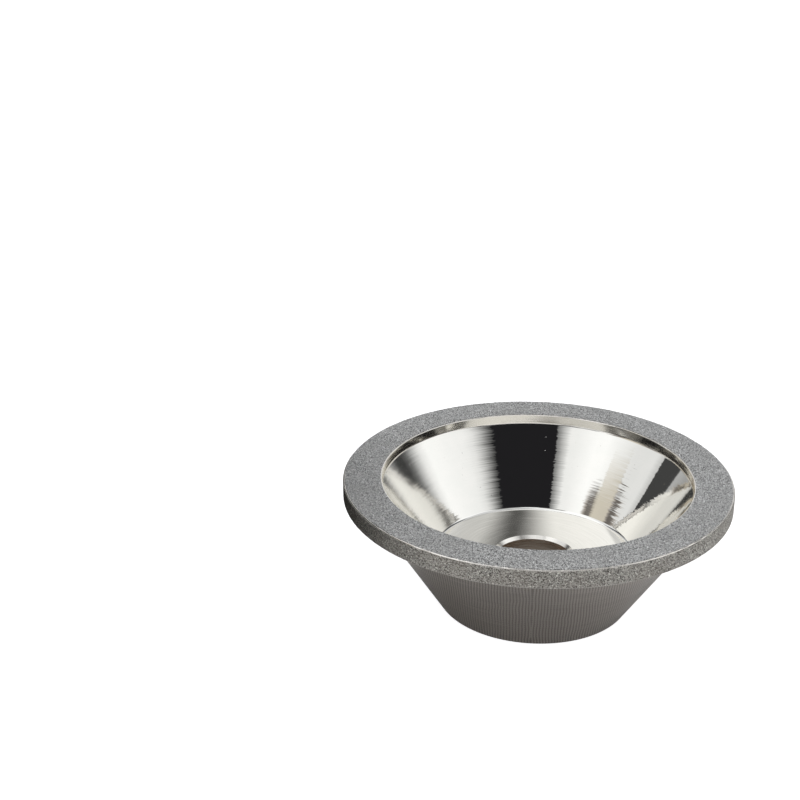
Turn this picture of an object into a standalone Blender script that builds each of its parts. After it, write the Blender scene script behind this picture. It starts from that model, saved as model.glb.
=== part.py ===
"""Bowl-shaped diamond grinding wheel.

A turned steel cup carries its diamonds on a flat overhanging flange: one coat on the flange's
top face and one round its rim. The wheel stands on its small end. The origin is the centre of
that end face, +Z is the spin axis and points out of the bowl, and all lengths are in metres.
"""
import math

import bpy
from mathutils import Vector

COLLECTION_NAME = "diamond_grinding_wheel"

# The wheel's nominal sizes: 100 mm across, 35 mm high, bore 20 mm, face 10 mm wide, flange 5 mm thick
WHEEL_RADIUS = 0.050
WHEEL_HEIGHT = 0.035
BORE_RADIUS = 0.010
FACE_WIDTH = 0.010
FLANGE_THICKNESS = 0.005

# The steel cup
BASE_RADIUS = 0.025
CONE_TOP_RADIUS = 0.0443
FLOOR_HEIGHT = 0.012
FLOOR_RADIUS = 0.02625
LAND_HEIGHT = 0.0027
BASE_CHAMFER = 0.0005
BORE_CHAMFER = 0.00075
FLOOR_FILLET = 0.0010
FLANGE_FILLET = 0.0006
EDGE_CHAMFER = 0.0002

# The diamond coats, and the bare edges that they leave
COAT_THICKNESS = 0.0003
COAT_CLEARANCE = 0.0003
INNER_BARE_EDGE = 0.0003
UNDERSIDE_BARE_EDGE = 0.0003

# Turned solids
TURN_STEPS = 96
FILLET_STEPS = 4
CHAMFER_STEPS = 1
MERGE_DISTANCE = 0.00001
SHARP_ANGLE = math.radians(25)


def make_collection(name):
    collection = bpy.data.collections.get(name) or bpy.data.collections.new(name)
    if name not in bpy.context.scene.collection.children:
        bpy.context.scene.collection.children.link(collection)
    return collection


def make_material(name, colour, roughness, metallic):
    material = bpy.data.materials.new(name)
    material.use_nodes = True
    material.diffuse_color = (*colour, 1.0)
    shader = material.node_tree.nodes["Principled BSDF"]
    shader.inputs["Base Color"].default_value = (*colour, 1.0)
    shader.inputs["Roughness"].default_value = roughness
    shader.inputs["Metallic"].default_value = metallic
    return material


def nickel_plated_steel():
    return make_material("nickel_plated_steel", (0.62, 0.59, 0.55), 0.15, 1.0)


def face_grit():
    return make_material("face_grit", (0.33, 0.34, 0.35), 0.55, 0.6)


def rim_grit():
    return make_material("rim_grit", (0.30, 0.29, 0.27), 0.6, 0.6)


def cut_corner(before, corner, after, setback, steps):
    """Replace an outline's corner by an arc that starts and ends `setback` from it.

    One step gives a straight chamfer.
    """
    to_before = (before - corner).normalized()
    to_after = (after - corner).normalized()
    half_angle = to_before.angle(to_after) / 2.0
    radius = setback * math.tan(half_angle)
    centre = corner + (to_before + to_after).normalized() * setback / math.cos(half_angle)
    first = (corner + to_before * setback) - centre
    last = (corner + to_after * setback) - centre
    points = []
    for step in range(steps + 1):
        direction = first.normalized().slerp(last.normalized(), step / steps)
        points.append(centre + direction * radius)
    return points


def trace_outline(corners):
    """Turn corners of (radius, height, setback, steps) into the points of a closed outline."""
    places = [Vector((radius, height)) for radius, height, _, _ in corners]
    points = []
    for index, (_, _, setback, steps) in enumerate(corners):
        if setback == 0.0:
            points.append(places[index])
            continue
        before = places[index - 1]
        after = places[(index + 1) % len(places)]
        points.extend(cut_corner(before, places[index], after, setback, steps))
    return points


def turn(name, corners, material, collection):
    """Turn a closed outline about Z. The corners run down the outside and back up the inside."""
    outline = trace_outline(corners)
    vertices = [(point.x, 0.0, point.y) for point in outline]
    edges = [(index, (index + 1) % len(outline)) for index in range(len(outline))]
    mesh = bpy.data.meshes.new(name)
    mesh.from_pydata(vertices, edges, [])
    mesh.materials.append(material)
    body = bpy.data.objects.new(name, mesh)
    collection.objects.link(body)

    screw = body.modifiers.new("Turn", 'SCREW')
    screw.axis = 'Z'
    screw.angle = math.tau
    screw.steps = TURN_STEPS
    screw.render_steps = TURN_STEPS
    screw.use_merge_vertices = True
    screw.merge_threshold = MERGE_DISTANCE
    screw.use_smooth_shade = True

    # The turned surface is made real, so that its tight edges can be marked sharp
    evaluated = body.evaluated_get(bpy.context.evaluated_depsgraph_get())
    turned_mesh = bpy.data.meshes.new_from_object(evaluated)
    body.modifiers.clear()
    body.data = turned_mesh
    bpy.data.meshes.remove(mesh)
    turned_mesh.name = name
    turned_mesh.shade_smooth()
    turned_mesh.set_sharp_from_angle(angle=SHARP_ANGLE)
    return body


def build_cup_body(collection, material):
    """The one-piece cup: back face, bore, floor, bowl, land and flange."""
    skin = COAT_THICKNESS + COAT_CLEARANCE
    top = WHEEL_HEIGHT - skin
    underside = WHEEL_HEIGHT - FLANGE_THICKNESS
    flange_radius = WHEEL_RADIUS - skin
    land_radius = WHEEL_RADIUS - FACE_WIDTH
    land_bottom = WHEEL_HEIGHT - LAND_HEIGHT
    corners = [
        (flange_radius, top, EDGE_CHAMFER, CHAMFER_STEPS),
        (flange_radius, underside, EDGE_CHAMFER, CHAMFER_STEPS),
        (CONE_TOP_RADIUS, underside, FLANGE_FILLET, FILLET_STEPS),
        (BASE_RADIUS, 0.0, BASE_CHAMFER, CHAMFER_STEPS),
        (BORE_RADIUS, 0.0, BORE_CHAMFER, CHAMFER_STEPS),
        (BORE_RADIUS, FLOOR_HEIGHT, BORE_CHAMFER, CHAMFER_STEPS),
        (FLOOR_RADIUS, FLOOR_HEIGHT, FLOOR_FILLET, FILLET_STEPS),
        (land_radius, land_bottom, 0.0, 0),
        (land_radius, top, EDGE_CHAMFER, CHAMFER_STEPS),
    ]
    return turn("cup_body", corners, material, collection)


def build_face_coat(collection, material):
    """The diamond coat on the flange's top, the face that grinds."""
    inner = WHEEL_RADIUS - FACE_WIDTH + INNER_BARE_EDGE
    outer = WHEEL_RADIUS - COAT_THICKNESS - COAT_CLEARANCE
    low = WHEEL_HEIGHT - COAT_THICKNESS
    corners = [
        (outer, WHEEL_HEIGHT, 0.0, 0),
        (outer, low, 0.0, 0),
        (inner, low, 0.0, 0),
        (inner, WHEEL_HEIGHT, 0.0, 0),
    ]
    return turn("face_diamond_coat", corners, material, collection)


def build_rim_coat(collection, material):
    """The diamond coat round the flange's edge."""
    inner = WHEEL_RADIUS - COAT_THICKNESS
    low = WHEEL_HEIGHT - FLANGE_THICKNESS + UNDERSIDE_BARE_EDGE
    top = WHEEL_HEIGHT - COAT_THICKNESS
    corners = [
        (WHEEL_RADIUS, top, 0.0, 0),
        (WHEEL_RADIUS, low, 0.0, 0),
        (inner, low, 0.0, 0),
        (inner, top, 0.0, 0),
    ]
    return turn("rim_diamond_coat", corners, material, collection)


def main():
    for leftover in list(bpy.data.objects):
        bpy.data.objects.remove(leftover, do_unlink=True)
    collection = make_collection(COLLECTION_NAME)
    build_cup_body(collection, nickel_plated_steel())
    build_face_coat(collection, face_grit())
    build_rim_coat(collection, rim_grit())


main()
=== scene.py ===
"""Looks of a bowl-shaped diamond grinding wheel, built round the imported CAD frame.

Metres, +Z up. The wheel stands on its small end, and the camera looks along +Y.
"""
import math

import bpy
import numpy as np
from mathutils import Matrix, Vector


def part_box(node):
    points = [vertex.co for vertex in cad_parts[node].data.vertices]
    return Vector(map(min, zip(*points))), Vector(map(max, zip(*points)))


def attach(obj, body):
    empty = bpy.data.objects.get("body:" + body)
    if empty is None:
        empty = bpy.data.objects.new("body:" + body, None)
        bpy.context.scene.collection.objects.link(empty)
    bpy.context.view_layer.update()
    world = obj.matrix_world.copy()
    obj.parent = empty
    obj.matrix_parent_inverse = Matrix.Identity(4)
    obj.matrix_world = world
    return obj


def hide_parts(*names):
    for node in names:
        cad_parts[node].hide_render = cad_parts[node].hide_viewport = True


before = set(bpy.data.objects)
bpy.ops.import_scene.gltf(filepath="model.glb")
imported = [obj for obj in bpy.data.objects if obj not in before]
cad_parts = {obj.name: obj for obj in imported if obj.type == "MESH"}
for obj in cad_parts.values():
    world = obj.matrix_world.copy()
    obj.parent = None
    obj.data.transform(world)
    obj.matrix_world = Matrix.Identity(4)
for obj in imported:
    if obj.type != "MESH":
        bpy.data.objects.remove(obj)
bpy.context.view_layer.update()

MM = 0.001
SEED = 7

# The wheel's sizes. The two nodes' boxes give the outside; the rest repeats the CAD's dimensions.
WHEEL_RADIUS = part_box("rim_diamond_coat")[1].x
WHEEL_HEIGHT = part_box("face_diamond_coat")[1].z
FACE_WIDTH = 10 * MM
FLANGE_THICKNESS = 5 * MM
BORE_RADIUS = 10 * MM
BASE_RADIUS = 25 * MM
CONE_TOP_RADIUS = 44.3 * MM
FLOOR_HEIGHT = 12 * MM
FLOOR_RADIUS = 26.25 * MM
LAND_HEIGHT = 2.7 * MM
LAND_RADIUS = WHEEL_RADIUS - FACE_WIDTH
FLANGE_UNDERSIDE = WHEEL_HEIGHT - FLANGE_THICKNESS

# Edges of the turned cup
BASE_CHAMFER = 0.4 * MM
BORE_CHAMFER = 0.8 * MM
FLOOR_FILLET = 0.6 * MM
FLANGE_FILLET = 0.6 * MM
GRIT_EDGE_CHAMFER = 0.22 * MM
LAND_EDGE_CHAMFER = 0.18 * MM
LOWER_EDGE_CHAMFER = 0.15 * MM
LAND_FOOT_ROUND = 0.25 * MM

# The cup's mesh
TURNED_STEPS = 480
FILLET_STEPS = 6
OUTLINE_SPACING = 1.5 * MM
OUTLINE_SUPPORT = 0.12 * MM
SHARP_ANGLE = math.radians(30)

# The diamond coats
GRIT_DEPTH = 0.20 * MM
GRIT_SINK = 0.06 * MM
GRIT_MESH_PITCH = 0.17 * MM
GRIT_EDGE_GAP = 0.03 * MM
LAND_EDGE_GAP = 0.06 * MM
CRYSTAL_PITCH = 0.24 * MM
CRYSTAL_RELIEF = 0.11 * MM

# The bed of crystals, in shares of the pitch of its grid or of a crystal's height
CRYSTAL_PLACE = (0.12, 0.88)
CRYSTAL_HEIGHT = (0.45, 1.0)
CRYSTAL_LEAN = 0.45
GAP_WIDTH = 0.45
GAP_LEVEL = 0.35
MESH_JITTER = 0.3
RAGGED_EDGE = 0.5

# The coats' shading: sizes in millimetres, the share of grains of each kind, and the colours of the
# nickel between the crystals, of the crystals, and of the broad stain over both
GRAIN_PITCH = 0.18
FACET_PITCH = 0.12
FACET_LEAN = 0.5
GRAIN_GLOSS = (0.25, 0.6)
NICKEL_UP_TO = 0.14
CRYSTAL_FROM = 0.78
CRYSTAL_UP_TO = 0.93
SPARKLE_FROM = 0.95
SPARKLE = 1.6
STAINS_PER_MM = 0.12
STAIN_STEP = (0.3, 0.7, 0.0, 0.3)
FACE_GRIT_COLOURS = (0.06, 0.059, 0.057), (0.76, 0.752, 0.74), (0.39, 0.385, 0.377)
RIM_GRIT_COLOURS = (0.075, 0.069, 0.060), (0.65, 0.62, 0.57), (0.36, 0.315, 0.275)

# Turned finishes: roughness, slope of the grooves, grooves a millimetre, and two tints
TURNED_FINISHES = {
    "turned": (0.15, 0.16, 4.0, (0.60, 0.555, 0.52), (1.0, 0.935, 0.88)),
    "plain": (0.16, 0.10, 4.0, (0.72, 0.685, 0.65), (0.86, 0.83, 0.79)),
    "bored": (0.20, 0.12, 5.0, (0.61, 0.51, 0.425), (0.80, 0.70, 0.60)),
    "faced": (0.07, 0.09, 3.0, (0.87, 0.855, 0.82), (0.93, 0.915, 0.88)),
    "land": (0.09, 0.03, 5.0, (0.80, 0.78, 0.745), (0.86, 0.84, 0.80)),
    "bare_edge": (0.16, 0.06, 5.0, (0.82, 0.79, 0.74), (0.90, 0.87, 0.82)),
}

# What the turned finishes share: the slopes of broad and of uneven grooves beside that of the fine
# ones, and the roughness of the smoothest and roughest grooves beside the finish's own
BROAD_SHARE = 0.4
UNEVEN_SHARE = 0.25
SMOOTHEST = 0.85
ROUGHEST = 1.2

# Tool marks on the outside of the cone, in millimetres and as a slope. A step is (low, high, value
# at low, value at high).
CHATTER_PITCH = 0.75
FEED_PITCH = 0.85
RIB_SLOPE = 0.07
RIB_TINT = 0.9
RIB_WANDER = 9.0
FEED_PHASE = 0.4
FEED_SHARE = 0.27
WANDERS_PER_MM = 0.11
PATCHES_PER_MM = 0.13
PATCH_STEP = (0.35, 0.65, 0.6, 1.45)
BASE_STEP = (0.0, 9.0, 1.5, 1.0)

# The polished bowl. Most steps are over the x of the unit vector out from the axis: the polish left
# more of the turning marks in some places.
POLISHED_TINTS = (0.86, 0.845, 0.80), (0.88, 0.86, 0.815)
FINE_SLOPE = 0.055
COARSE_SLOPE = 0.012
MARKS_MIDDLE = (-0.6, 0.3, 1.8, 0.9)
MARKS_RIGHT = (0.68, 0.85, 1.0, 0.15)
MARKS_LEFT = (-0.93, -0.6, 0.35, 1.0)
MARKS_ACROSS = (0.60, 0.84, 0.016, 0.085)
ROUGHNESS_SMEARED = (0.3, 0.75, 0.012, 0.035)
ROUGHNESS_LEFT = (-0.96, -0.62, 0.10, 0.0)
ROUGHNESS_RIGHT = (0.90, 0.97, 0.0, 0.05)
SMEARS_PER_MM = 0.22
SMEAR_TINT_STEP = (0.35, 0.7)
PIT_PITCH = 2.2
PIT_STEP = (0.02, 0.055, 0.3, 0.0)

# The camera
CAMERA_DISTANCE = 0.39023
CAMERA_ELEVATION = math.radians(27.73)
CAMERA_AIM_HEIGHT = 0.017
CAMERA_PAN = math.radians(5.866)
CAMERA_TILT = math.radians(22.542)
CAMERA_LENS_MM = 66.42
CAMERA_SENSOR_MM = 36.0
CAMERA_CLIP_START = 0.01

# The studio. A bearing is in degrees to the right of the camera, seen from the wheel, and a height
# is in degrees above the horizon. Colours are half the light's level, for this strength.
STUDIO_STRENGTH = 2.0
COOL = -0.018
TENT_LEVELS = [
    (-180, 0.90), (-150, 0.70), (-138, 0.37), (-130, 0.48), (-109, 0.66), (-104, 0.87),
    (-88, 0.86), (-78, 0.97), (-62, 1.15), (-52, 1.15), (-36, 1.01), (-29, 0.98), (-26, 0.74),
    (-23, 0.56), (-20, 0.34), (-16, 0.17), (43, 0.08), (46, 0.19), (49, 0.33), (52, 0.50),
    (55, 0.66), (60, 0.88), (67, 1.00), (100, 1.13), (107, 0.92), (112, 0.60), (118, 0.16),
    (124, 0.04), (131, 0.05), (138, 0.30), (150, 0.70), (180, 0.90),
]

# Dark places in the tent: (first, last, softness) in bearing and then in height
GAP_BEHIND = (-127.5, -110.6, 0.7)
GAP_IN_FRONT = (-16.8, 41.5, 0.8)
LOW_GAP = (-47, 51, 3), (24, 35.6, 1.0)
INNER_GAP = (-33, -14, 3), (30, 38.3, 1.0)
DIM_LEFT = (-40, -6, 5)
DIM_RIGHT = (25, 56, 5)
DIM_HEIGHTS = (47.5, 58, 2)
TABLE_EDGE = (21, 24.5)
BLACK = (0.0078, 0.0077, 0.0088)

# Overhead
ROOF_HEIGHTS = (49, 53)
ROOF_LEVELS = [(0.30, 0.59), (0.5, 0.50), (0.65, 0.35)]
LAMP_MOUNT = Vector((0.131, 0.127, 0.983)).normalized()
LAMP_MOUNT_STEP = (0, 16, 0.92, 0.0)

# What stood close by on the left: (bearing, level, tint) bands, and how high they reach
NEIGHBOUR_BEARINGS = (-101, -55)
NEIGHBOUR_LIGHT = (-84, -70, 2)
NEIGHBOUR_FADE = 0.8
NEIGHBOUR_LIGHT_FADE = 1.4
NEIGHBOUR_SIDE_FADE = 1.5
BROWN = (1.05, 0.97, 0.90)
BEIGE = (1.04, 0.98, 0.85)
WHITE = (0.98, 1.00, 1.02)
NEIGHBOUR_BANDS = [
    (-101, 0.87, WHITE), (-96.5, 0.40, BROWN), (-92, 0.17, BROWN), (-88, 0.15, BROWN),
    (-86, 0.32, BROWN), (-84, 0.63, BEIGE), (-70, 0.66, BEIGE), (-67.5, 0.50, BEIGE),
    (-65.5, 0.20, BROWN), (-61, 0.17, BROWN), (-58.5, 0.42, BROWN), (-55, 1.14, WHITE),
]
NEIGHBOUR_TOPS = [
    (-101, 20.6), (-96, 22.9), (-90, 26.3), (-84, 28.6), (-78, 30.4), (-66, 33.8), (-60, 35.1),
    (-55, 35.9),
]

# The shade cards, which stand where the second wheel stood
SHADE_X = -54 * MM
SHADE_NEAR = -50 * MM
SHADE_FAR = 22 * MM
SHADE_BOTTOM = 12 * MM
SHADE_MIDDLE = 40 * MM
SHADE_TOP = 115 * MM

# The floor: how pale it is to what it lights, by place, as steps in metres; painted light and shade
FLOOR_SIZE = 12.0
FLOOR_DROP = 0.05 * MM
# Painted light: the floor is paler to the right and to the left of the wheel's middle
FLOOR_PAINTED_LIGHT_RIGHT = (5 * MM, 42 * MM, 0.0, 0.29)
FLOOR_PAINTED_LIGHT_LEFT = (-60 * MM, -8 * MM, 0.97, 0.68)
# Painted light: paler still far to the left, where the shade cards would darken it
FLOOR_PAINTED_LIGHT_FAR_LEFT = (-60 * MM, 0.0, 1.35, 1.0)
# Painted shade: the floor is darker near the wheel, as a painted shadow under the flange
FLOOR_PAINTED_SHADE_NEAR_WHEEL = (28 * MM, 66 * MM, 0.62, 1.0)
FLOOR_PALEST = 0.95


# ---------------------------------------------------------------------------
# Node trees
# ---------------------------------------------------------------------------
class Tree:
    """Short calls for making shader nodes. A socket or a number can be any argument."""

    def __init__(self, tree):
        self.tree = tree

    def link(self, value, socket):
        self.tree.links.new(value, socket)

    def node(self, kind, inputs=(), **settings):
        made = self.tree.nodes.new("ShaderNode" + kind)
        for key, value in settings.items():
            setattr(made, key, value)
        for key, value in dict(inputs).items():
            if isinstance(value, bpy.types.NodeSocket):
                self.link(value, made.inputs[key])
            else:
                made.inputs[key].default_value = value
        return made

    def math(self, operation, a, b=0.0, c=0.0, clamp=False):
        inputs = {0: a, 1: b, 2: c}
        return self.node("Math", inputs, operation=operation, use_clamp=clamp).outputs[0]

    def vector(self, operation, a, b=(0.0, 0.0, 0.0)):
        key = "Scale" if operation == "SCALE" else 1
        made = self.node("VectorMath", {0: a, key: b}, operation=operation)
        return made.outputs["Value" if operation in ("LENGTH", "DOT_PRODUCT") else "Vector"]

    def combine(self, x, y, z):
        return self.node("CombineXYZ", {0: x, 1: y, 2: z}).outputs[0]

    def separate(self, vector):
        return self.node("SeparateXYZ", {0: vector}).outputs

    def smooth(self, value, low, high, start=0.0, end=1.0):
        inputs = {0: value, 1: low, 2: high, 3: start, 4: end}
        return self.node("MapRange", inputs, interpolation_type="SMOOTHSTEP").outputs[0]

    def ramp(self, value, stops):
        made = self.node("ValToRGB", {0: value})
        elements = made.color_ramp.elements
        while len(elements) < len(stops):
            elements.new(0.5)
        for element, (position, colour) in zip(elements, stops):
            element.position = position
            element.color = (*colour, 1.0)
        return made.outputs[0]

    def noise(self, vector, scale, detail=2.0):
        inputs = {"Vector": vector, "Scale": scale, "Detail": detail, "Roughness": 0.5}
        return self.node("TexNoise", inputs).outputs[0]

    def cells(self, vector, pitch):
        return self.node("TexVoronoi", {"Vector": vector, "Scale": 1 / pitch}).outputs

    def mix(self, factor, a, b):
        made = self.node("Mix", data_type="RGBA", blend_type="MIX")
        for index, value in ((0, factor), (6, a), (7, b)):
            if isinstance(value, bpy.types.NodeSocket):
                self.link(value, made.inputs[index])
            else:
                made.inputs[index].default_value = value if index == 0 else (*value, 1.0)
        return made.outputs[2]


def new_material(name, **sockets):
    material = bpy.data.materials.new(name)
    material.use_nodes = True
    shader = material.node_tree.nodes["Principled BSDF"]
    for key, value in sockets.items():
        shader.inputs[key.replace("_", " ").title()].default_value = value
    return material, Tree(material.node_tree), shader


def place_in_mm(tree):
    return tree.vector("SCALE", tree.node("TexCoord").outputs["Object"], 1 / MM)


def turned_coordinates(tree):
    """Position in millimetres, the unit vector out from the axis, and length along the profile."""
    place = place_in_mm(tree)
    x, y, z = tree.separate(place)
    flat = tree.combine(x, y, 0.0)
    along = tree.math("ADD", tree.vector("LENGTH", flat), z)
    return place, tree.vector("NORMALIZE", flat), along


def ring_noise(tree, outward, along, per_mm, turns, detail=2.0):
    """Noise in rings about the axis: `per_mm` grains a millimetre across the rings."""
    x, y, _ = tree.separate(outward)
    vector = tree.combine(
        tree.math("MULTIPLY", x, turns),
        tree.math("MULTIPLY", y, turns),
        tree.math("MULTIPLY", along, per_mm),
    )
    return tree.noise(vector, 1.0, detail)


def tilted_normal(tree, outward, around, across):
    """The surface's normal tipped by small slopes, `around` the axis and `across` the grooves."""
    normal = tree.node("NewGeometry").outputs["Normal"]
    x, y, _ = tree.separate(outward)
    tangent = tree.combine(tree.math("MULTIPLY", y, -1.0), x, 0.0)
    uphill = tree.vector("CROSS_PRODUCT", normal, tangent)
    tip = tree.vector(
        "ADD", tree.vector("SCALE", tangent, around), tree.vector("SCALE", uphill, across)
    )
    return tree.vector("NORMALIZE", tree.vector("ADD", normal, tip))


def centred(tree, value, amount):
    """A noise value turned into a slope about zero."""
    return tree.math("MULTIPLY", tree.math("SUBTRACT", value, 0.5), amount)


def polished_nickel():
    """Mirror-bright nickel, in which fine turning marks still fray what it mirrors."""
    material, tree, shader = new_material("polished_nickel", metallic=1.0)
    place, outward, along = turned_coordinates(tree)
    side = tree.separate(outward)[0]

    fine = ring_noise(tree, outward, along, per_mm=2.8, turns=3.5)
    coarse = ring_noise(tree, outward, along, per_mm=0.4, turns=2.0, detail=1.0)
    around = tree.math("ADD", centred(tree, fine, FINE_SLOPE), centred(tree, coarse, COARSE_SLOPE))
    worked = tree.math(
        "MULTIPLY", tree.smooth(side, *MARKS_MIDDLE), tree.smooth(side, *MARKS_RIGHT)
    )
    worked = tree.math("MULTIPLY", worked, tree.smooth(side, *MARKS_LEFT))
    around = tree.math("MULTIPLY", around, worked)
    pit = tree.smooth(tree.cells(place, PIT_PITCH)["Distance"], *PIT_STEP)
    around = tree.math("ADD", around, pit)

    across = centred(tree, ring_noise(tree, outward, along, per_mm=2.6, turns=5.0), 1.0)
    strength = tree.smooth(tree.math("ABSOLUTE", side), *MARKS_ACROSS)
    across = tree.math("MULTIPLY", across, strength)
    tree.link(tilted_normal(tree, outward, around, across), shader.inputs["Normal"])

    smear = tree.noise(place, SMEARS_PER_MM, 3.0)
    roughness = tree.math(
        "ADD", tree.smooth(smear, *ROUGHNESS_SMEARED), tree.smooth(side, *ROUGHNESS_LEFT)
    )
    roughness = tree.math("ADD", roughness, tree.smooth(side, *ROUGHNESS_RIGHT))
    tree.link(roughness, shader.inputs["Roughness"])
    tint = tree.mix(tree.smooth(smear, *SMEAR_TINT_STEP), *POLISHED_TINTS)
    tree.link(tint, shader.inputs["Base Color"])
    return material


def chatter_ribs(tree, outward, place):
    """Faint ribs down the cone and rings round it, the marks of a vibrating tool and its feed."""
    x, y, _ = tree.separate(outward)
    radius = tree.vector("LENGTH", tree.vector("MULTIPLY", place, (1.0, 1.0, 0.0)))
    angle = tree.math("ABSOLUTE", tree.math("ARCTAN2", x, tree.math("MULTIPLY", y, -1.0)))
    arc = tree.math("MULTIPLY", angle, radius)
    height = tree.separate(place)[2]
    wander = tree.math("MULTIPLY", tree.noise(place, WANDERS_PER_MM), RIB_WANDER)
    feed = tree.math("SINE", tree.math("MULTIPLY_ADD", height, math.tau / FEED_PITCH, wander))
    phase = tree.math("MULTIPLY_ADD", arc, math.tau / CHATTER_PITCH, wander)
    ribs = tree.math("SINE", tree.math("MULTIPLY_ADD", feed, FEED_PHASE, phase))
    both = tree.math("MULTIPLY_ADD", feed, FEED_SHARE, ribs)
    patches = tree.smooth(tree.noise(place, PATCHES_PER_MM, 1.0), *PATCH_STEP)
    both = tree.math("MULTIPLY", both, patches)
    return tree.math("MULTIPLY", both, tree.smooth(height, *BASE_STEP))


def turned_nickel(finish):
    """Nickel over turned steel, with grooves round the axis. The cone's finish has ribs as well."""
    roughness, groove, per_mm, dark, light = TURNED_FINISHES[finish]
    material, tree, shader = new_material(finish + "_nickel", metallic=1.0)
    place, outward, along = turned_coordinates(tree)
    fine = ring_noise(tree, outward, along, per_mm, turns=2.0)
    broad = ring_noise(tree, outward, along, per_mm=0.6, turns=1.5)
    across = tree.math(
        "ADD", centred(tree, fine, groove), centred(tree, broad, groove * BROAD_SHARE)
    )
    uneven = ring_noise(tree, outward, along, per_mm * 0.8, turns=5.0, detail=1.0)
    around = centred(tree, uneven, groove * UNEVEN_SHARE)
    tone = tree.smooth(fine, 0.25, 0.75)
    if finish == "turned":
        wave = chatter_ribs(tree, outward, place)
        around = tree.math("MULTIPLY_ADD", wave, RIB_SLOPE, around)
        tone = tree.math("MULTIPLY_ADD", wave, RIB_TINT, tone, clamp=True)
    gloss = tree.smooth(fine, 0.3, 0.7, roughness * SMOOTHEST, roughness * ROUGHEST)
    tree.link(tilted_normal(tree, outward, around, across), shader.inputs["Normal"])
    tree.link(gloss, shader.inputs["Roughness"])
    tree.link(tree.mix(tone, dark, light), shader.inputs["Base Color"])
    return material


def grit(name, nickel, crystal, stain):
    """Diamond crystals bedded in nickel: each grain has its own tone, tilt and gloss."""
    material, tree, shader = new_material(name, metallic=0.4)
    place = place_in_mm(tree)
    tone, gloss, _ = tree.separate(tree.cells(place, GRAIN_PITCH)["Color"])
    sparkle = tuple(min(1.0, SPARKLE * level) for level in crystal)
    tint = tree.ramp(
        tone,
        [
            (NICKEL_UP_TO, nickel), (CRYSTAL_FROM, crystal),
            (CRYSTAL_UP_TO, crystal), (SPARKLE_FROM, sparkle),
        ],
    )
    stained = tree.smooth(tree.noise(place, STAINS_PER_MM), *STAIN_STEP)
    tree.link(tree.mix(stained, tint, stain), shader.inputs["Base Color"])
    tree.link(tree.smooth(gloss, 0.0, 1.0, *GRAIN_GLOSS), shader.inputs["Roughness"])
    normal = tree.node("NewGeometry").outputs["Normal"]
    lean = tree.vector("SUBTRACT", tree.cells(place, FACET_PITCH)["Color"], (0.5, 0.5, 0.5))
    tipped = tree.vector("ADD", normal, tree.vector("SCALE", lean, FACET_LEAN))
    tree.link(tree.vector("NORMALIZE", tipped), shader.inputs["Normal"])
    return material


# ---------------------------------------------------------------------------
# The turned cup
# ---------------------------------------------------------------------------
def round_corner(before, corner, after, setback, steps):
    """The arc that replaces an outline's corner, from `setback` before it to `setback` after."""
    to_before = (before - corner).normalized()
    to_after = (after - corner).normalized()
    half_angle = to_before.angle(to_after) / 2.0
    radius = setback * math.tan(half_angle)
    centre = corner + (to_before + to_after).normalized() * setback / math.cos(half_angle)
    first = (corner + to_before * setback - centre).normalized()
    last = (corner + to_after * setback - centre).normalized()
    return [centre + first.slerp(last, step / steps) * radius for step in range(steps + 1)]


def trace_outline(corners):
    """Turn corners into a dense closed outline, with a finish for the stretch after each point.

    Each corner is (radius, height, setback, steps, finish), and its finish is that of the straight
    run that starts at it. A fillet takes the finish of the run before it, and any other corner is
    a bare edge. Each run has support points near its ends, so that shading stays flat.
    """
    places = [Vector(corner[:2]) for corner in corners]
    arcs = []
    for index, (_, _, setback, steps, _) in enumerate(corners):
        after = places[(index + 1) % len(places)]
        arcs.append(round_corner(places[index - 1], places[index], after, setback, steps))
    points = []
    finishes = []
    for index, arc in enumerate(arcs):
        is_fillet = corners[index][3] == FILLET_STEPS
        arc_finish = corners[index - 1][4] if is_fillet else "bare_edge"
        points.extend(arc[:-1])
        finishes.extend([arc_finish] * (len(arc) - 1))
        start = arc[-1]
        run = arcs[(index + 1) % len(arcs)][0] - start
        inner = run.length - 2 * OUTLINE_SUPPORT
        count = max(1, round(inner / OUTLINE_SPACING))
        stops = [0.0] + [OUTLINE_SUPPORT + inner * k / count for k in range(count + 1)]
        points.extend(start + run * (stop / run.length) for stop in stops)
        finishes.extend([corners[index][4]] * len(stops))
    return points, finishes


def add_piece(name, vertices, faces):
    mesh = bpy.data.meshes.new(name)
    mesh.from_pydata(vertices, [], faces)
    mesh.update()
    piece = bpy.data.objects.new(name, mesh)
    bpy.context.scene.collection.objects.link(piece)
    return piece


def ring_quads(steps, rows):
    """Quads between neighbouring rings of points: `rows` points in a closed loop at each step."""
    step, row = np.meshgrid(np.arange(steps), np.arange(rows), indexing="ij")
    following = (step + 1) % steps
    below = (row + 1) % rows
    corners = [
        step * rows + row, step * rows + below, following * rows + below, following * rows + row,
    ]
    return np.stack(corners, axis=-1).reshape(-1, 4)


def add_ring(name, angles, radii, heights):
    """A closed ring of quads through points given by angle, radius and height."""
    steps, rows = heights.shape
    vertices = np.stack([np.cos(angles) * radii, np.sin(angles) * radii, heights], axis=-1)
    return add_piece(name, vertices.reshape(-1, 3).tolist(), ring_quads(steps, rows).tolist())


def lathe(name, corners, materials):
    """Turn a closed outline about Z; the outline runs down the outside and up the inside."""
    outline, finishes = trace_outline(corners)
    radii = np.array([point.x for point in outline])
    heights = np.array([point.y for point in outline])
    angles = np.arange(TURNED_STEPS)[:, None] * math.tau / TURNED_STEPS
    levels = np.broadcast_to(heights, (TURNED_STEPS, len(outline)))
    piece = add_ring(name, angles, radii, levels)
    names = list(materials)
    for finish in names:
        piece.data.materials.append(materials[finish])
    indices = np.tile([names.index(finish) for finish in finishes], TURNED_STEPS)
    piece.data.polygons.foreach_set("material_index", indices.astype(np.int32))
    piece.data.shade_smooth()
    piece.data.set_sharp_from_angle(angle=SHARP_ANGLE)
    return piece


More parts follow.
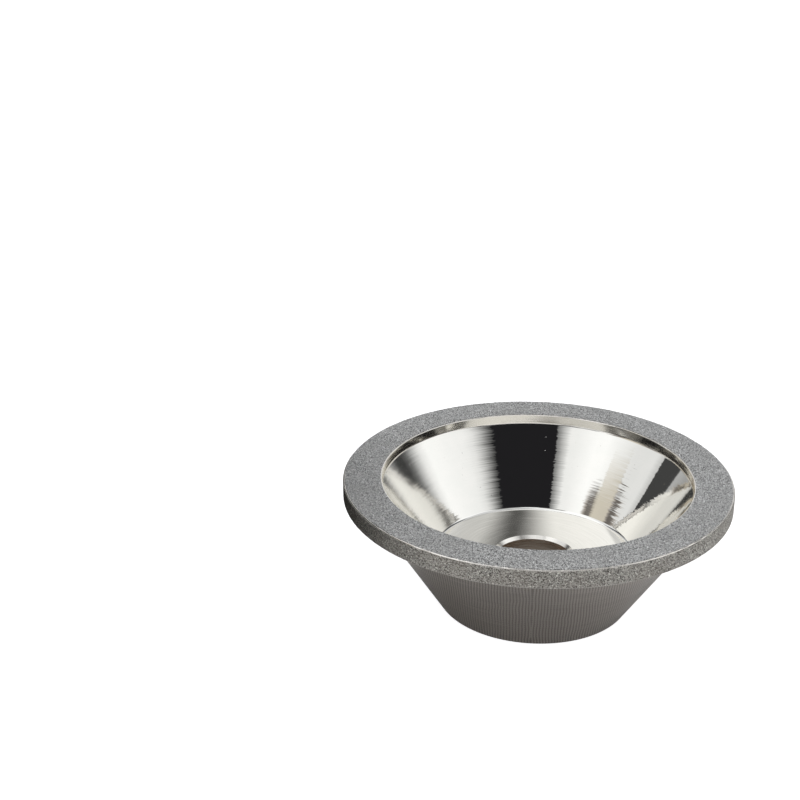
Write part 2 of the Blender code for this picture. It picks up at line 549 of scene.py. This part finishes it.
def build_cup():
    top = WHEEL_HEIGHT - GRIT_DEPTH
    rim = WHEEL_RADIUS - GRIT_DEPTH
    land_bottom = WHEEL_HEIGHT - LAND_HEIGHT
    corners = [
        (rim, top, GRIT_EDGE_CHAMFER, 3, "turned"),
        (rim, FLANGE_UNDERSIDE, LOWER_EDGE_CHAMFER, 2, "plain"),
        (CONE_TOP_RADIUS, FLANGE_UNDERSIDE, FLANGE_FILLET, FILLET_STEPS, "turned"),
        (BASE_RADIUS, 0.0, BASE_CHAMFER, 3, "plain"),
        (BORE_RADIUS, 0.0, BORE_CHAMFER, 1, "bored"),
        (BORE_RADIUS, FLOOR_HEIGHT, BORE_CHAMFER, 1, "faced"),
        (FLOOR_RADIUS, FLOOR_HEIGHT, FLOOR_FILLET, FILLET_STEPS, "polished"),
        (LAND_RADIUS, land_bottom, LAND_FOOT_ROUND, 3, "land"),
        (LAND_RADIUS, top, LAND_EDGE_CHAMFER, 2, "turned"),
    ]
    materials = {finish: turned_nickel(finish) for finish in TURNED_FINISHES}
    materials["polished"] = polished_nickel()
    cup = lathe("cup_shell", corners, materials)
    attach(cup, "root")
    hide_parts("cup_body")


# ---------------------------------------------------------------------------
# The diamond coats
# ---------------------------------------------------------------------------
def crystal_heights(u, v, pitch, seed):
    """Height from 0 to 1 of a bed of blocky crystals at points (u, v), in a strip that wraps in u.

    Crystals sit near the cells of a grid. Each has its own height and lean, and the bed sinks
    between neighbours.
    """
    length = u.max() + (u[1, 0] - u[0, 0])
    columns = round(length / pitch)
    cell_u = length / columns
    rows = int(math.ceil(v.max() / pitch)) + 2
    rng = np.random.default_rng(seed)
    jitter = rng.uniform(*CRYSTAL_PLACE, (columns, rows, 2))
    height = rng.uniform(*CRYSTAL_HEIGHT, (columns, rows))
    lean = rng.uniform(-CRYSTAL_LEAN, CRYSTAL_LEAN, (columns, rows, 2))
    column = np.floor(u / cell_u).astype(int)
    row = np.floor(v / pitch).astype(int)
    nearest = np.full(u.shape, np.inf)
    second = np.full(u.shape, np.inf)
    result = np.zeros(u.shape)
    for du in (-1, 0, 1):
        for dv in (-1, 0, 1):
            c = (column + du) % columns
            r = np.clip(row + dv, -1, rows - 2) + 1
            offset_u = u - (column + du + jitter[c, r, 0]) * cell_u
            offset_v = v - (row + dv + jitter[c, r, 1]) * pitch
            distance = np.hypot(offset_u, offset_v)
            plane = height[c, r] + (offset_u * lean[c, r, 0] + offset_v * lean[c, r, 1]) / pitch
            closer = distance < nearest
            second = np.where(closer, nearest, np.minimum(second, distance))
            nearest = np.where(closer, distance, nearest)
            result = np.where(closer, plane, result)
    gap = np.clip((second - nearest) / (GAP_WIDTH * pitch), 0.0, 1.0)
    return np.clip(result, 0.0, 1.0) * (GAP_LEVEL + (1.0 - GAP_LEVEL) * gap)


def grit_ring(name, start, end, outward, material, seed):
    """A closed ring with a gritty outer side.

    start and end are the (radius, height) ends of the gritty side at its full height, and outward
    is that side's direction in the same plane.
    """
    start = np.array(start)
    end = np.array(end)
    outward = np.array(outward)
    width = np.linalg.norm(end - start)
    radius = (start[0] + end[0]) / 2
    steps = round(math.tau * radius / GRIT_MESH_PITCH)
    rows = round(width / GRIT_MESH_PITCH) + 1
    rng = np.random.default_rng(seed)
    step, row = np.meshgrid(
        np.arange(steps, dtype=float), np.arange(rows, dtype=float), indexing="ij"
    )
    u = step * math.tau * radius / steps
    v = row * width / (rows - 1)
    relief = crystal_heights(u, v, CRYSTAL_PITCH, seed)

    # Points are shifted off the grid, and the two edges of the gritty side are ragged
    step = step + rng.uniform(-MESH_JITTER, MESH_JITTER, step.shape)
    inside = (row > 0) & (row < rows - 1)
    row = row + rng.uniform(-MESH_JITTER, MESH_JITTER, row.shape) * inside
    ragged = rng.uniform(0.0, RAGGED_EDGE, row.shape)
    row = np.where(row < 0.5, row + ragged, np.where(row > rows - 1.5, row - ragged, row))
    along = (row / (rows - 1))[..., None]
    sunk = outward * ((1.0 - relief) * CRYSTAL_RELIEF)[..., None]
    profile = start + (end - start) * along - sunk

    # Two more points at each step close the ring under the grit
    hidden = np.stack([end, start]) - outward * (GRIT_DEPTH + GRIT_SINK)
    loop = np.concatenate([profile, np.broadcast_to(hidden, (steps, 2, 2))], axis=1)
    angles = np.concatenate([step, step[:, [-1]], step[:, [0]]], axis=1) * math.tau / steps
    piece = add_ring(name, angles, loop[..., 0], loop[..., 1])
    piece.data.materials.append(material)
    return piece


def build_grit():
    outer_bare = GRIT_EDGE_CHAMFER + GRIT_EDGE_GAP
    face = grit_ring(
        "face_grit",
        (WHEEL_RADIUS - GRIT_DEPTH - outer_bare, WHEEL_HEIGHT),
        (LAND_RADIUS + LAND_EDGE_CHAMFER + LAND_EDGE_GAP, WHEEL_HEIGHT),
        (0.0, 1.0),
        grit("face_grit", *FACE_GRIT_COLOURS),
        SEED,
    )
    rim = grit_ring(
        "rim_grit",
        (WHEEL_RADIUS, FLANGE_UNDERSIDE + LOWER_EDGE_CHAMFER + GRIT_EDGE_GAP),
        (WHEEL_RADIUS, WHEEL_HEIGHT - GRIT_DEPTH - outer_bare),
        (1.0, 0.0),
        grit("rim_grit", *RIM_GRIT_COLOURS),
        SEED + 1,
    )
    coats = (face, "face_diamond_coat", "face_grit"), (rim, "rim_diamond_coat", "rim_grit")
    for piece, node, slot in coats:
        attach(piece, "root")
        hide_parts(node)


# ---------------------------------------------------------------------------
# Camera, light and stage
# ---------------------------------------------------------------------------
def add_camera():
    camera = bpy.data.objects.new("camera", bpy.data.cameras.new("camera"))
    bpy.context.scene.collection.objects.link(camera)
    camera.data.lens = CAMERA_LENS_MM
    camera.data.sensor_width = CAMERA_SENSOR_MM
    camera.data.clip_start = CAMERA_CLIP_START
    camera.location = (
        0.0,
        -CAMERA_DISTANCE * math.cos(CAMERA_ELEVATION),
        CAMERA_DISTANCE * math.sin(CAMERA_ELEVATION) + CAMERA_AIM_HEIGHT,
    )
    camera.rotation_euler = (math.pi / 2 - CAMERA_TILT, 0.0, CAMERA_PAN)
    bpy.context.scene.camera = camera


def grey(level, warmth=0.0):
    return (level * (1 + warmth), level, level * (1 - warmth))


def card(tree, value, low, high, soft):
    """1 between low and high, falling to 0 over `soft` outside them."""
    rising = tree.smooth(value, low - soft, low)
    falling = tree.smooth(value, high, high + soft, 1.0, 0.0)
    return tree.math("MULTIPLY", rising, falling)


def patch(tree, bearing, height, bearings, heights):
    """1 in a patch of the studio, given by two cards."""
    return tree.math("MULTIPLY", card(tree, bearing, *bearings), card(tree, height, *heights))


def neighbour(tree, bearing, height):
    """What stood close by on the left, as the bowl mirrors it: where it shows, and its colour."""
    first, last = NEIGHBOUR_BEARINGS
    width = last - first
    share = tree.math("MULTIPLY_ADD", bearing, 1 / width, -first / width)
    colour = tree.ramp(
        share,
        [
            ((angle - first) / width, tuple(level / 2 * part for part in tint))
            for angle, level, tint in NEIGHBOUR_BANDS
        ],
    )
    tops = [((angle - first) / width, grey(rise / 90)) for angle, rise in NEIGHBOUR_TOPS]
    top = tree.math("MULTIPLY", tree.separate(tree.ramp(share, tops))[0], 90.0)
    light = card(tree, bearing, *NEIGHBOUR_LIGHT)
    fade = tree.math("MULTIPLY_ADD", light, NEIGHBOUR_LIGHT_FADE, NEIGHBOUR_FADE)
    over = tree.math("DIVIDE", tree.math("SUBTRACT", height, top), fade)
    solid = tree.math("SUBTRACT", 1.0, over, clamp=True)
    soft = NEIGHBOUR_SIDE_FADE
    shown = tree.math("MULTIPLY", solid, card(tree, bearing, first + soft, last - soft, soft))
    return shown, colour


def roof(tree, direction, x, degrees):
    """The closed tent overhead, brighter to the left, with a lamp's dark mount."""
    across = tree.math("MULTIPLY_ADD", x, 0.5, 0.5)
    bright = tree.ramp(across, [(place, grey(level, COOL)) for place, level in ROOF_LEVELS])
    mount = tree.math("ARCCOSINE", tree.vector("DOT_PRODUCT", direction, LAMP_MOUNT))
    mount = tree.math("MULTIPLY", mount, degrees)
    return tree.mix(tree.smooth(mount, *LAMP_MOUNT_STEP), bright, grey(0.02))


def add_studio_light():
    """A white tent round the wheel, open in front where the camera looks in, with dark gaps."""
    world = bpy.data.worlds.new("studio")
    bpy.context.scene.world = world
    world.use_nodes = True
    world.node_tree.nodes.clear()
    tree = Tree(world.node_tree)
    direction = tree.node("TexCoord").outputs["Generated"]
    x, y, z = tree.separate(direction)
    degrees = 180 / math.pi
    angle = tree.math("ARCTAN2", x, tree.math("MULTIPLY", y, -1.0))
    bearing = tree.math("MULTIPLY", angle, degrees)
    height = tree.math("MULTIPLY", tree.math("ARCSINE", z), degrees)

    share = tree.math("MULTIPLY_ADD", bearing, 1 / 360, 0.5)
    levels = [(0.5 + stop / 360, grey(level / 2, COOL)) for stop, level in TENT_LEVELS]
    tent = tree.ramp(share, levels)
    tent = tree.mix(card(tree, bearing, *GAP_BEHIND), tent, grey(0.030, -0.02))
    shown, colour = neighbour(tree, bearing, height)
    tent = tree.mix(shown, tent, colour)
    low_gap = patch(tree, bearing, height, *LOW_GAP)
    inner_gap = patch(tree, bearing, height, *INNER_GAP)
    tent = tree.mix(tree.math("MAXIMUM", low_gap, inner_gap), tent, grey(0.03))
    front = tree.mix(tree.smooth(height, *TABLE_EDGE), grey(0.40), BLACK)
    tent = tree.mix(card(tree, bearing, *GAP_IN_FRONT), tent, front)
    tent = tree.mix(tree.smooth(height, *ROOF_HEIGHTS), tent, roof(tree, direction, x, degrees))
    dim = tree.math("MAXIMUM", card(tree, bearing, *DIM_LEFT), card(tree, bearing, *DIM_RIGHT))
    dim = tree.math("MULTIPLY", dim, card(tree, height, *DIM_HEIGHTS))
    tent = tree.mix(dim, tent, grey(0.10))

    # Behind the wheel the picture is plain white, whatever the tent is there
    seen = tree.node("LightPath").outputs["Is Camera Ray"]
    tent = tree.mix(seen, tent, grey(0.5))
    background = tree.node("Background", {"Color": tent, "Strength": STUDIO_STRENGTH})
    tree.link(background.outputs[0], tree.node("OutputWorld").inputs[0])


def add_shade(name, bottom, top, mirrored):
    """A dark card that stands close by on the left and shades the rim and the face there."""
    corners = [
        (SHADE_X, SHADE_NEAR, bottom), (SHADE_X, SHADE_FAR, bottom),
        (SHADE_X, SHADE_FAR, top), (SHADE_X, SHADE_NEAR, top),
    ]
    shade = add_piece(name, corners, [(0, 1, 2, 3)])
    material = new_material(name, base_color=(0.05, 0.045, 0.04, 1.0), roughness=0.9)[0]
    shade.data.materials.append(material)
    shade.visible_camera = False
    shade.visible_glossy = mirrored


def add_floor():
    """A floor that looks white and is a quieter grey to what it lights and is mirrored in; that
    grey holds painted light and shade.
    """
    bpy.ops.mesh.primitive_plane_add(size=FLOOR_SIZE)
    floor = bpy.context.object
    floor.name = "floor"
    floor.location.z = -FLOOR_DROP
    material, tree, shader = new_material("floor", roughness=0.9, emission_strength=1.0)
    seen = tree.node("LightPath").outputs["Is Camera Ray"]
    place = tree.node("TexCoord").outputs["Object"]
    x = tree.separate(place)[0]
    # Painted light in what the floor lights: paler to the sides and further still to the far left
    side = tree.math("ADD", tree.smooth(x, *FLOOR_PAINTED_LIGHT_RIGHT), tree.smooth(x, *FLOOR_PAINTED_LIGHT_LEFT))
    side = tree.math("MULTIPLY", side, tree.smooth(x, *FLOOR_PAINTED_LIGHT_FAR_LEFT))
    # Painted shadow: what the floor lights is darker close round the wheel
    painted_shade_near_wheel = tree.smooth(tree.vector("LENGTH", place), *FLOOR_PAINTED_SHADE_NEAR_WHEEL)
    pale = tree.math("MINIMUM", tree.math("MULTIPLY", side, painted_shade_near_wheel), FLOOR_PALEST)
    painted_light_and_shade = tree.combine(pale, pale, pale)
    tree.link(tree.mix(seen, painted_light_and_shade, grey(0.50)), shader.inputs["Base Color"])
    tree.link(tree.mix(seen, grey(0.0), grey(0.93)), shader.inputs["Emission Color"])
    floor.data.materials.append(material)


bpy.context.scene.view_settings.view_transform = "Standard"
bpy.context.scene.cycles.glossy_bounces = 10
add_camera()
add_studio_light()
add_floor()
add_shade("low_shade", SHADE_BOTTOM, SHADE_MIDDLE, True)
add_shade("high_shade", SHADE_MIDDLE, SHADE_TOP, False)
build_cup()
build_grit()
